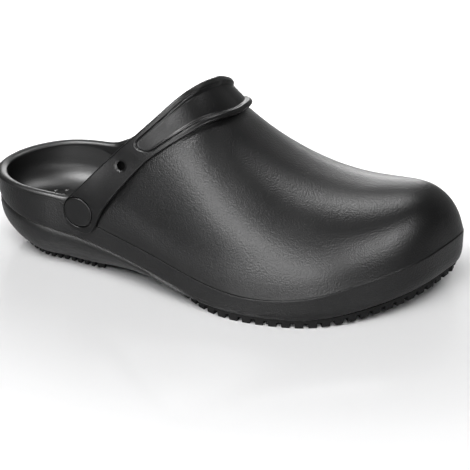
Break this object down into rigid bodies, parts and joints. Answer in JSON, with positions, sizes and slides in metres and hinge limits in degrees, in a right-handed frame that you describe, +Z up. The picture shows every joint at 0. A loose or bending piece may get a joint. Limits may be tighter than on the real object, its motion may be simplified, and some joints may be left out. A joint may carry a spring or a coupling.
{
  "type": "chef clog",
  "caption": "Slip-on kitchen clog: closed moulded vamp and toe, low open heel cup with a rolled collar, pinned band over the instep and a lugged non-slip sole.",
  "frame": {"origin": "middle of the shoe's outline in plan, on the ground under the flat lugs", "axes": "+X from heel to toe, +Y towards the inner side of the foot, +Z up"},
  "size_m": [0.2844, 0.1132, 0.1225],
  "materials": {
    "upper_foam": "black moulded foam with a fine leather-like grain, satin",
    "band_foam": "black moulded foam, smooth satin",
    "sole_foam": "black moulded foam, smooth satin",
    "insole_foam": "black foam, satin",
    "tread_rubber": "black rubber, matt",
    "button_plastic": "black plastic, satin"
  },
  "bodies": {
    "root": {"upper": "upper_foam", "instep_band": "band_foam", "midsole": "sole_foam", "insole": "insole_foam", "outsole_forefoot": "tread_rubber", "outsole_heel": "tread_rubber", "button_lateral": "button_plastic", "button_medial": "button_plastic"}
  },
  "joints": []
}
